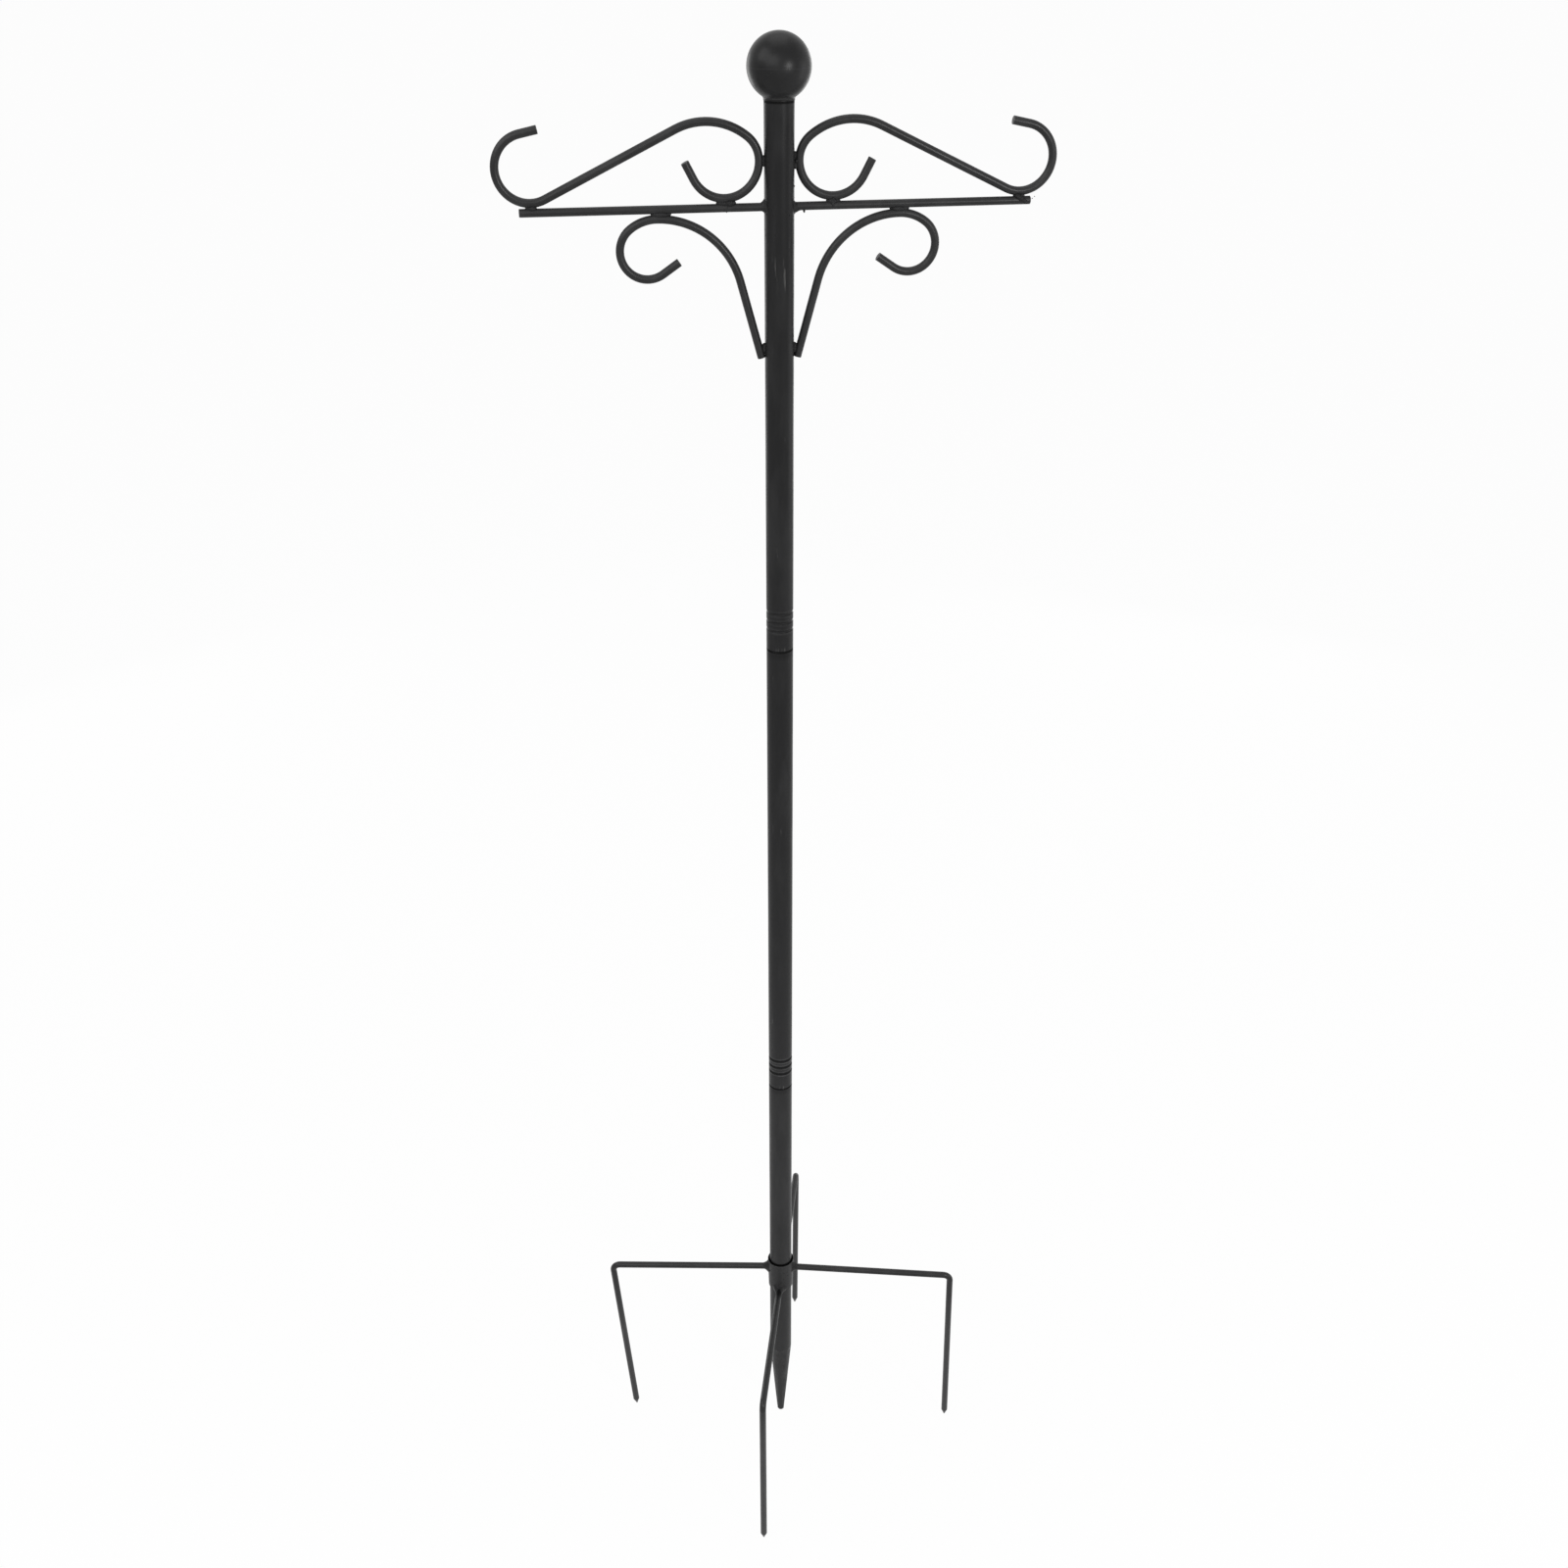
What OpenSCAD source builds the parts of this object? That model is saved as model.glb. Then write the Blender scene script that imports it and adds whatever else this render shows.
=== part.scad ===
// Hanging plant stand: a three-part pole with a ball on top, a pair of
// scrolled arms that carry hanging pots, and a four-pronged ground bracket
// that slides on the pointed foot of the pole.
// Millimetres, +Z up. The origin lies on the pole's axis, level with the
// points that touch the ground. The arms run along X.

/* [Pole] */
// Outside diameter of the pole tubes
pole_d = 25; // [19:0.5:32]
// Wall thickness of the pole tubes
tube_wall = 1.2; // [0.8:0.1:2]
// Length of the top tube, which carries the arms
top_tube_len = 480; // [320:5:600]
// Length of the middle tube
middle_tube_len = 520; // [260:5:620]
// Length of the bottom tube, from its pointed foot to its upper end
bottom_tube_len = 513; // [400:1:620]
// Rounding of the rims of the tubes
rim_round = 0.4; // [0.2:0.1:0.5]

/* [Pointed foot] */
// Length of the pressed taper at the foot of the bottom tube
foot_taper_len = 112; // [60:1:140]
// Width of the blunt point across its flats
foot_tip_w = 7; // [4:0.5:12]
// Closed length between the end of the bore and the start of the taper
foot_plug_len = 6; // [3:1:15]

/* [Couplings] */
// Length of sleeve held in the tube above the seam
sleeve_fixed_len = 62; // [55:1:90]
// Length of sleeve that slips into the tube below the seam
sleeve_free_len = 55; // [30:1:90]
// Wall thickness of the sleeve
sleeve_wall = 1.6; // [1.4:0.1:2.5]
// Radial play between the sleeve and the tube that it slips into
sleeve_play = 0.05; // [0.02:0.01:0.1]
// Length of the lead-in chamfer at the free end of the sleeve
sleeve_lead = 2; // [1:0.5:4]
// Number of grooves rolled into the tube to hold the sleeve
groove_count = 3; // [1:1:4]
// Distance from one rolled groove to the next
groove_pitch = 8.5; // [7:0.5:10]
// Depth of a rolled groove
groove_depth = 0.9; // [0.3:0.1:1]
// Radius of the groove's section
groove_r = 1.8; // [1.5:0.1:3]
// Distance from the seam to the nearest groove
groove_from_seam = 21; // [8:1:26]

/* [Finial] */
// Diameter of the ball on top of the pole
ball_d = 52.3; // [35:0.1:70]
// How far the ball's neck stands proud of the tube all round
neck_proud = 0.4; // [0:0.1:1]
// Height of the neck's straight part, above the tube
neck_h = 0.8; // [0.6:0.1:8]
// Radius of the hollow curve between the neck and the ball
neck_hollow_r = 2.5; // [1:0.1:4]
// Length of the shank that plugs the tube
shank_len = 28; // [15:1:45]
// Number of gripping ribs round the shank
shank_ribs = 6; // [3:1:8]
// Depth of the relief between the shank's ribs
shank_relief = 0.6; // [0.3:0.1:1]
// Height of the plain part of the shank, above its ribs
shank_collar_h = 3.4; // [1:0.2:8]

/* [Arm bars] */
// Diameter of the straight bars
bar_d = 6.8; // [5:0.1:9]
// Length of the bars past the centre of the hook
bar_past_hook = 9.8; // [2:0.1:20]
// Drop from the top of the tube to the bars' centreline
bar_drop = 82; // [76:1:110]

/* [Upper scrolls] */
// Diameter of the rod that the scrolls are bent from
scroll_d = 7; // [5:0.5:9]
// Reach from the pole's axis to the centre of the outer hook
hook_reach = 202.8; // [170:0.1:240]
// Centreline radius of the outer hook
hook_r = 26.7; // [18:0.1:32]
// Rise of the hook's straight end, in degrees
hook_end_rise = 12; // [0:1:40]
// Length of the hook's straight end
hook_end_len = 14.5; // [4:0.5:25]
// Centreline radius of the inner loop's lower bend
loop_low_r = 28.5; // [22:0.5:30]
// Centreline radius of the inner loop's bend beside the pole
loop_side_r = 24; // [20:0.5:34]
// Turn of the bend beside the pole, in degrees
loop_side_turn = 52; // [45:1:75]
// Centreline radius of the inner loop's long upper bend
loop_top_r = 56; // [45:0.5:65]
// Slope of the inner loop's straight end, in degrees
loop_end_slope = 62.5; // [40:0.5:85]
// Length of the inner loop's straight end
loop_end_len = 14.5; // [4:0.5:20]

/* [Lower scrolls] */
// Reach from the pole's axis to where the lower scroll meets the bar
crown_reach = 101.4; // [96:0.1:130]
// Centreline radius of the long bend down to the pole
leg_r = 71; // [65:0.5:76]
// Lean of the leg's straight end from upright, in degrees
leg_lean = 15.2; // [12:0.2:20]
// Length of the leg's end past its weld, which is fitted to the tube
leg_past_len = 4.5; // [1:0.5:6]
// Centreline radius of the bend that leaves the crown outwards
shoulder_r = 36.5; // [26:0.5:40]
// Turn of the shoulder bend, in degrees
shoulder_turn = 38.5; // [20:0.5:60]
// Centreline radius of the curl
curl_r = 22.5; // [18:0.5:26]
// Rise of the curl's straight end, in degrees
curl_end_rise = 34; // [10:0.5:60]
// Length of the curl's straight end
curl_end_len = 16.3; // [4:0.1:24]

/* [Welds] */
// Narrow gap between neighbouring rods that the weld beads fill
weld_gap = 0.6; // [0.4:0.1:0.9]
// Half width of the beads that lie along two rods
bead_r = 2.8; // [2:0.1:3.1]
// Length of the bead between the hook and the bar
hook_bead_len = 13; // [6:1:18]
// Length of the bead between the inner loop and the bar
loop_bead_len = 20; // [8:1:24]
// Length of the bead between the crown of the lower scroll and the bar
crown_bead_len = 16; // [8:1:24]
// Length of the beads against the pole
pole_bead_len = 10; // [6:1:14]
// Width of the weld fillet round a rod that butts against a tube
fillet_w = 2.4; // [1:0.1:3]

/* [Ground bracket] */
// Radial gap between the pole and the foot of the bracket's tapered collar
foot_gap = 0.3; // [0.2:0.1:0.5]
// Radial gap between the pole and the collar's rim
rim_gap = 1.3; // [0.5:0.1:1.6]
// Wall thickness of the collar
collar_wall = 1.1; // [1:0.1:3]
// Height of the collar
collar_h = 39; // [30:1:60]
// Diameter of the rod that the prongs are bent from
prong_d = 7.2; // [5:0.1:9]
// Drop from the collar's rim to where the side arms' centrelines meet the axis
side_arm_drop = 12.7; // [8:0.1:24]
// Droop of the side arms towards their bends, in degrees
side_arm_droop = 1.9; // [0:0.1:4]
// Height of the side arms' bends above the ground points
side_tine_h = 233.2; // [170:0.2:260]
// Reach of the side prongs from the pole's axis
side_reach = 198; // [140:1:240]
// Reach of the front and back prongs from the pole's axis
low_reach = 183.5; // [140:0.5:240]
// Centreline radius of the bend from arm to tine
prong_bend_r = 8; // [6:0.5:20]
// Length of the cone at the end of a tine
tine_cone_len = 7; // [4:0.5:16]
// Radius of the rounded point of a tine
tine_tip_r = 1; // [0.5:0.1:2]
// Inward lean of the left tine, in degrees
left_lean = 4.6; // [-2:0.1:6]
// Inward lean of the right tine, in degrees
right_lean = -1; // [-2:0.1:6]
// Inward lean of the front tine, in degrees
front_lean = 0; // [0:0.1:6]
// Inward lean of the back tine, in degrees
back_lean = 2.4; // [0:0.1:6]
// Turn of the bracket from the plane of the arms, in degrees
bracket_turn = -12.4; // [-30:0.1:30]
// How far the two pairs of prongs are out of square, in degrees
pair_skew = 3.5; // [0:0.1:5]

/* [Hidden] */

$fn = 64;
fine = 96;            // segments of the ball
bend_fn = 256;        // segments of the rings that the weld beads are cut to
eps = 0.05;           // overshoot of a cut past the face that it opens
lap_w = 0.4;          // width of the bands that lap the steps of a bent rod
lap_proud = 0.02;     // how far such a band stands proud of the rod
rod_chamfer = 0.125;  // chamfer at a rod's end over the rod's radius
root_start = 0.5;     // start of a butted rod over its tube's radius, before the cut
bead_thin = 0.5;      // radius of a bead at its ends over that at its middle
fillet_run = 1.2;     // run of a fillet along its rod over its width on the tube
fillet_rim = 0.3;     // thickness of a fillet where it runs out on its rod
foot_corner = 1.3;    // corner radius of the foot's point over its half width
relief_share = 0.5;   // width of a relief in the shank over the bore's radius
collar_run = 0.5;     // run of the collar's cone below its foot over its height

pole_r = pole_d / 2;
bore_r = pole_r - tube_wall;
sleeve_bore_r = bore_r - sleeve_wall;

lower_seam_z = bottom_tube_len;
upper_seam_z = lower_seam_z + middle_tube_len;
pole_top_z = upper_seam_z + top_tube_len;

ball_r = ball_d / 2;
neck_r = pole_r + neck_proud;
neck_z = pole_top_z + neck_h;
hollow_ring_r = neck_r + neck_hollow_r;
ball_seat = sqrt(pow(ball_r + neck_hollow_r, 2) - pow(hollow_ring_r, 2));
ball_z = neck_z + ball_seat;
hollow_top_r = hollow_ring_r * ball_r / (ball_r + neck_hollow_r);

bar_r = bar_d / 2;
scroll_r = scroll_d / 2;
bar_z = pole_top_z - bar_drop;
bar_reach = hook_reach + bar_past_hook;

// Centrelines beside the pole and above or below the bar
beside_pole = pole_r + weld_gap + scroll_r;
off_bar = bar_r + weld_gap + scroll_r;

// Upper scroll: the long bend of the inner loop and the outer hook are two
// circles, and the straight diagonal is the tangent that crosses between them.
loop_top_turn_in = 90 - loop_side_turn;
loop_top_x = beside_pole + loop_side_r * (1 - cos(loop_side_turn))
             + loop_top_r * sin(loop_top_turn_in);
loop_top_z = off_bar + loop_low_r + loop_side_r * sin(loop_side_turn)
             - loop_top_r * cos(loop_top_turn_in);
hook_z = off_bar + hook_r;
circles_dx = hook_reach - loop_top_x;
circles_dz = hook_z - loop_top_z;
circles_apart = norm([circles_dx, circles_dz]);
cross_angle = asin((loop_top_r + hook_r) / circles_apart);
diagonal_fall = cross_angle - atan2(circles_dz, circles_dx);
diagonal_len = circles_apart * cos(cross_angle);
hook_turn = diagonal_fall + 180 - hook_end_rise;

// Lower scroll, from the foot on the pole to the crown under the bar
leg_turn = 90 - leg_lean;
leg_end_x = crown_reach - leg_r * sin(leg_turn);
leg_straight_len = (leg_end_x - beside_pole) / sin(leg_lean);
leg_end_z = -off_bar - leg_r * (1 - cos(leg_turn));
leg_foot_z = leg_end_z - leg_straight_len * cos(leg_lean);
curl_turn = 180 + curl_end_rise - shoulder_turn;

// Ground bracket
foot_bore_r = pole_r + foot_gap;
rim_bore_r = pole_r + rim_gap;
collar_foot_r = foot_bore_r + collar_wall;
collar_rim_r = rim_bore_r + collar_wall;
collar_taper = (rim_gap - foot_gap) / collar_h;
side_root_z = side_tine_h + side_reach * tan(side_arm_droop);
rim_z = side_root_z + side_arm_drop;
collar_z = rim_z - collar_h;
prong_r = prong_d / 2;
low_root_z = collar_z + prong_r;
side_turn = bracket_turn + pair_skew / 2;
low_turn = bracket_turn - pair_skew / 2;
fillet_len = fillet_run * fillet_w;

// ---------------------------------------------------------------- helpers

// A ring of round section about the Z axis
module ring(centre_r, section_r) {
    rotate_extrude() translate([centre_r, 0]) circle(r = section_r);
}

// A rod along +X with its two rims chamfered
module rod_x(rod_r, length) {
    c = rod_r * rod_chamfer;
    rotate([0, 90, 0]) {
        cylinder(r1 = rod_r - c, r2 = rod_r, h = c);
        translate([0, 0, c]) cylinder(r = rod_r, h = length - 2 * c);
        translate([0, 0, length - c]) cylinder(r1 = rod_r, r2 = rod_r - c, h = c);
    }
}

// A band across the start of a step, so that neighbouring steps share volume
module lap_band(rod_r) {
    translate([-lap_w / 2, 0, 0]) rotate([0, 90, 0])
        cylinder(r = rod_r + lap_proud, h = lap_w);
}

// A rod bent in the XZ plane, starting at the origin along +X. Each step is
// a straight [length, 0] or a bend [centreline radius, turn], where a
// positive turn bends upwards. What follows a step starts where it ends.
module bent_rod(steps, rod_r, i = 0) {
    if (i > 0) lap_band(rod_r);
    if (i < len(steps)) {
        size = steps[i][0];
        turn = steps[i][1];
        side = sign(turn);
        if (side == 0) {
            rotate([0, 90, 0]) cylinder(r = rod_r, h = size);
            translate([size, 0, 0]) bent_rod(steps, rod_r, i + 1) children();
        } else {
            translate([0, 0, side * size]) {
                rotate([90, 0, 0])
                    rotate([0, 0, side > 0 ? -90 : 90 + turn])
                        rotate_extrude(angle = abs(turn))
                            translate([size, 0]) circle(r = rod_r);
                rotate([0, -turn, 0])
                    translate([0, 0, -side * size])
                        bent_rod(steps, rod_r, i + 1) children();
            }
        }
    } else children();
}

// The chamfered end of a rod, pointing along +X
module rod_end(rod_r) {
    c = rod_r * rod_chamfer;
    rotate([0, 90, 0]) cylinder(r1 = rod_r, r2 = rod_r - c, h = c);
}

// The space that the pole fills, as a cut for what butts against it
module pole_cut() {
    cylinder(r = pole_r, h = pole_top_z);
}

// A tube of the pole from z = 0 upwards, with rounded rims
module pole_tube(length) {
    difference() {
        union() {
            cylinder(r1 = pole_r - rim_round, r2 = pole_r, h = rim_round);
            translate([0, 0, rim_round])
                cylinder(r = pole_r, h = length - 2 * rim_round);
            translate([0, 0, length - rim_round])
                cylinder(r1 = pole_r, r2 = pole_r - rim_round, h = rim_round);
        }
        translate([0, 0, -eps]) cylinder(r = bore_r, h = length + 2 * eps);
    }
}

// Places children at each rolled groove above a seam at z = 0
module at_grooves() {
    for (i = [0 : groove_count - 1])
        translate([0, 0, groove_from_seam + i * groove_pitch]) children();
}

// The rolled groove seen from outside, and the same roll seen from inside:
// the tube's wall keeps its thickness where it is pressed into the sleeve
module groove_outside() ring(pole_r + groove_r - groove_depth, groove_r);
module groove_inside() ring(pole_r + groove_r - groove_depth, groove_r + tube_wall);

// A pole tube whose lower end is rolled on to a coupling sleeve
module grooved_tube(length) {
    difference() {
        union() {
            pole_tube(length);
            at_grooves() intersection() {
                groove_inside();
                cylinder(r = bore_r + tube_wall / 2, h = groove_pitch, center = true);
            }
        }
        at_grooves() groove_outside();
    }
}

// A coupling sleeve, with the seam of the two tubes at z = 0
module coupling_sleeve() {
    slip_r = bore_r - sleeve_play;
    difference() {
        union() {
            cylinder(r = bore_r, h = sleeve_fixed_len);
            translate([0, 0, sleeve_lead - sleeve_free_len])
                cylinder(r = slip_r, h = sleeve_free_len - sleeve_lead);
            translate([0, 0, -sleeve_free_len])
                cylinder(r1 = slip_r - sleeve_wall / 2, r2 = slip_r, h = sleeve_lead);
        }
        translate([0, 0, -sleeve_free_len - eps])
            cylinder(r = sleeve_bore_r, h = sleeve_fixed_len + sleeve_free_len + 2 * eps);
        at_grooves() groove_inside();
    }
}

// ----------------------------------------------------------------- finial

module finial_ball() color([0.09, 0.09, 0.095]) {
    relief_w = bore_r * relief_share;
    difference() {
        union() {
            translate([0, 0, ball_z]) sphere(r = ball_r, $fn = fine);
            translate([0, 0, neck_z]) cylinder(r = hollow_top_r, h = ball_seat);
        }
        translate([0, 0, neck_z]) ring(hollow_ring_r, neck_hollow_r);
        translate([0, 0, neck_z - ball_r]) cylinder(r = ball_r, h = ball_r);
    }
    translate([0, 0, pole_top_z]) cylinder(r = neck_r, h = neck_h);
    translate([0, 0, pole_top_z - shank_len]) difference() {
        cylinder(r = bore_r, h = shank_len);
        for (i = [0 : shank_ribs - 1])
            rotate([0, 0, i * 360 / shank_ribs])
                translate([bore_r - shank_relief, -relief_w / 2, -eps])
                    cube([bore_r, relief_w, shank_len - shank_collar_h]);
    }
}

// ------------------------------------------------------------------- pole

module top_tube() color([0.11, 0.11, 0.115])
    translate([0, 0, upper_seam_z]) grooved_tube(top_tube_len);

module middle_tube() color([0.11, 0.11, 0.115])
    translate([0, 0, lower_seam_z]) grooved_tube(middle_tube_len);

module upper_coupling() color([0.2, 0.2, 0.21])
    translate([0, 0, upper_seam_z]) coupling_sleeve();

module lower_coupling() color([0.2, 0.2, 0.21])
    translate([0, 0, lower_seam_z]) coupling_sleeve();

// Stock of the pressed point: flats on four sides, corners drawn in to a cone
module foot_point() {
    half = foot_tip_w / 2;
    flat_slope = atan2(pole_r - half, foot_taper_len);
    difference() {
        union() {
            translate([0, 0, half]) sphere(r = half * foot_corner);
            translate([0, 0, half])
                cylinder(r1 = half * foot_corner, r2 = pole_r, h = foot_taper_len - half);
        }
        for (side = [0 : 3])
            rotate([0, 0, side * 90 + low_turn])
                translate([half, 0, 0])
                    rotate([0, flat_slope, 0])
                        translate([0, -pole_d, -pole_d])
                            cube([pole_d, 2 * pole_d, foot_taper_len * 2]);
        translate([0, 0, -pole_d]) cylinder(r = pole_d, h = pole_d);
    }
}

module bottom_tube() color([0.11, 0.11, 0.115]) {
    foot_point();
    difference() {
        union() {
            translate([0, 0, foot_taper_len])
                cylinder(r = pole_r, h = bottom_tube_len - foot_taper_len - rim_round);
            translate([0, 0, bottom_tube_len - rim_round])
                cylinder(r1 = pole_r, r2 = pole_r - rim_round, h = rim_round);
        }
        translate([0, 0, foot_taper_len + foot_plug_len])
            cylinder(r = bore_r, h = bottom_tube_len);
    }
}

// ------------------------------------------------------------------- arms
// Each piece of an arm is drawn for the right arm. The left arm mirrors it.

module left_side() { mirror([1, 0, 0]) children(); }

module arm_bar() {
    start = pole_r * root_start;
    difference() {
        translate([start, 0, bar_z]) rod_x(bar_r, bar_reach - start);
        pole_cut();
    }
}

// The upper scroll, from the end inside the loop, down past the pole and
// over the top, along the diagonal and round the outer hook. It is started
// at the loop's lowest point, and the two halves leave it in both directions.
module upper_scroll() {
    translate([beside_pole + loop_low_r, 0, bar_z + off_bar]) {
        lap_band(scroll_r);
        bent_rod([[loop_low_r, loop_end_slope], [loop_end_len, 0]], scroll_r)
            rod_end(scroll_r);
        mirror([1, 0, 0])
            bent_rod([[loop_low_r, 90],
                      [loop_side_r, loop_side_turn],
                      [loop_top_r, loop_top_turn_in + diagonal_fall],
                      [diagonal_len, 0],
                      [hook_r, -hook_turn],
                      [hook_end_len, 0]], scroll_r)
                rod_end(scroll_r);
    }
}

// The lower scroll, from its foot on the pole up the leg to the crown under
// the bar, over the shoulder and round the curl
module lower_scroll() {
    difference() {
        translate([beside_pole, 0, bar_z + leg_foot_z])
            rotate([0, -leg_turn, 0])
                translate([-leg_past_len, 0, 0])
                    bent_rod([[leg_past_len + leg_straight_len, 0],
                              [leg_r, -leg_turn],
                              [shoulder_r, -shoulder_turn],
                              [curl_r, -curl_turn],
                              [curl_end_len, 0]], scroll_r)
                        rod_end(scroll_r);
        pole_cut();
    }
}

// A bead of weld along Z, centred on the origin, that thins out towards
// both of its ends
module bead(length) {
    for (end = [0, 1]) mirror([0, 0, end])
        cylinder(r1 = bead_r, r2 = bead_r * bead_thin, h = length / 2);
}

module bead_x(length) { rotate([0, 90, 0]) bead(length); }

// A whole ring of scroll rod in the XZ plane, as the bend that it stands for
module bend_ring(centre_r) {
    rotate([90, 0, 0]) ring(centre_r, scroll_r, $fn = bend_fn);
}

// The fillet of weld round a rod that runs along +X from a tube
module root_fillet(tube_r, rod_r) {
    translate([tube_r - fillet_w, 0, 0]) rotate([0, 90, 0])
        cylinder(r1 = rod_r + 2 * fillet_w, r2 = rod_r + fillet_rim, h = 2 * fillet_len);
}

// The beads of an arm, each cut to the rods that it lies against
module arm_welds() {
    loop_x = beside_pole + loop_low_r;
    loop_z = off_bar + loop_low_r;
    difference() {
        translate([0, 0, bar_z]) {
            difference() {
                translate([hook_reach, 0, bar_r + weld_gap / 2]) bead_x(hook_bead_len);
                translate([hook_reach, 0, hook_z]) bend_ring(hook_r);
            }
            difference() {
                translate([loop_x, 0, bar_r + weld_gap / 2]) bead_x(loop_bead_len);
                translate([loop_x, 0, loop_z]) bend_ring(loop_low_r);
            }
            difference() {
                translate([crown_reach, 0, -bar_r - weld_gap / 2]) bead_x(crown_bead_len);
                translate([crown_reach, 0, -off_bar - leg_r]) bend_ring(leg_r);
                translate([crown_reach, 0, -off_bar - shoulder_r]) bend_ring(shoulder_r);
            }
            difference() {
                translate([pole_r + weld_gap / 2, 0, loop_z]) bead(pole_bead_len);
                translate([loop_x, 0, loop_z]) bend_ring(loop_low_r);
                translate([beside_pole + loop_side_r, 0, loop_z]) bend_ring(loop_side_r);
            }
            difference() {
                translate([pole_r + weld_gap, 0, leg_foot_z + scroll_r / 2])
                    bead(pole_bead_len);
                translate([beside_pole, 0, leg_foot_z])
                    rotate([0, leg_lean, 0]) translate([0, 0, -leg_past_len])
                        cylinder(r = scroll_r, h = leg_past_len + pole_bead_len);
            }
            root_fillet(pole_r, bar_r);
        }
        pole_cut();
        translate([0, 0, bar_z]) {
            rotate([0, 90, 0]) cylinder(r = bar_r, h = bar_reach);
            translate([crown_reach, 0, -off_bar]) lap_band(scroll_r);
            translate([loop_x, 0, off_bar]) lap_band(scroll_r);
            translate([beside_pole, 0, loop_z]) rotate([0, 90, 0]) lap_band(scroll_r);
        }
    }
}

module right_bar() color([0.12, 0.12, 0.125]) arm_bar();
module left_bar() color([0.12, 0.12, 0.125]) left_side() arm_bar();
module right_upper_scroll() color([0.14, 0.14, 0.145]) upper_scroll();
module left_upper_scroll() color([0.14, 0.14, 0.145]) left_side() upper_scroll();
module right_lower_scroll() color([0.14, 0.14, 0.145]) lower_scroll();
module left_lower_scroll() color([0.14, 0.14, 0.145]) left_side() lower_scroll();
module right_arm_welds() color([0.1, 0.1, 0.1]) arm_welds();
module left_arm_welds() color([0.1, 0.1, 0.1]) left_side() arm_welds();

// --------------------------------------------------------- ground bracket

module bracket_collar() color([0.13, 0.13, 0.135]) {
    edge_r = collar_rim_r - rim_round * collar_taper;
    over = eps * collar_taper;
    translate([0, 0, collar_z]) difference() {
        union() {
            cylinder(r1 = collar_foot_r, r2 = edge_r, h = collar_h - rim_round);
            translate([0, 0, collar_h - rim_round])
                cylinder(r1 = edge_r, r2 = edge_r - rim_round, h = rim_round);
        }
        translate([0, 0, -eps])
            cylinder(r1 = foot_bore_r - over, r2 = rim_bore_r + over, h = collar_h + 2 * eps);
    }
}

// The cone of the collar's outside, run on below its foot, as a cut for what
// butts against it
module collar_cut() {
    run = collar_h * collar_run;
    translate([0, 0, collar_z - run])
        cylinder(r1 = collar_foot_r - run * collar_taper, r2 = collar_rim_r,
                 h = collar_h + run);
}

// A prong along +X: the arm that droops from its root to the bend, the bend
// down and the pointed tine. Its point touches the ground plane at z = 0.
module prong(root_z, reach, droop, lean) {
    start = collar_foot_r * root_start;
    bend_z = root_z - reach * tan(droop);
    bend_turn = 90 + lean - droop;
    bend_cut = prong_bend_r * tan(bend_turn / 2);
    tine_run = (bend_z - tine_tip_r) / cos(lean);
    difference() {
        translate([0, 0, root_z]) rotate([0, droop, 0]) translate([start, 0, 0])
            bent_rod([[reach / cos(droop) - start - bend_cut, 0],
                      [prong_bend_r, -bend_turn],
                      [tine_run - bend_cut - tine_cone_len, 0]], prong_r)
                rotate([0, 90, 0]) {
                    cylinder(r1 = prong_r, r2 = tine_tip_r, h = tine_cone_len);
                    translate([0, 0, tine_cone_len]) sphere(r = tine_tip_r);
                }
        collar_cut();
    }
}

module side_prong(lean)
    prong(side_root_z, side_reach, side_arm_droop, lean);
module low_prong(lean)
    prong(low_root_z, low_reach, 0, lean);

module right_prong() color([0.12, 0.12, 0.125])
    rotate([0, 0, side_turn]) side_prong(right_lean);
module left_prong() color([0.12, 0.12, 0.125])
    rotate([0, 0, side_turn + 180]) side_prong(left_lean);
module front_prong() color([0.12, 0.12, 0.125])
    rotate([0, 0, low_turn - 90]) low_prong(front_lean);
module back_prong() color([0.12, 0.12, 0.125])
    rotate([0, 0, low_turn + 90]) low_prong(back_lean);

// The fillet round the root of a prong along +X. It stays outside the collar,
// clear of the pole.
module prong_weld(root_z, reach, droop) {
    difference() {
        translate([0, 0, root_z]) rotate([0, droop, 0]) root_fillet(collar_foot_r, prong_r);
        collar_cut();
        translate([0, 0, root_z]) rotate([0, 90 + droop, 0])
            cylinder(r = prong_r, h = reach);
    }
}

module bracket_welds() color([0.1, 0.1, 0.1]) {
    for (half = [0, 180]) {
        rotate([0, 0, side_turn + half])
            prong_weld(side_root_z, side_reach, side_arm_droop);
        rotate([0, 0, low_turn + 90 + half]) prong_weld(low_root_z, low_reach, 0);
    }
}

finial_ball();
top_tube();
upper_coupling();
middle_tube();
lower_coupling();
bottom_tube();
left_bar();
right_bar();
left_upper_scroll();
right_upper_scroll();
left_lower_scroll();
right_lower_scroll();
left_arm_welds();
right_arm_welds();
bracket_collar();
left_prong();
right_prong();
front_prong();
back_prong();
bracket_welds();
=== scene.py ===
import math
import random

import bmesh
import bpy
from mathutils import Matrix, Vector, noise


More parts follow.
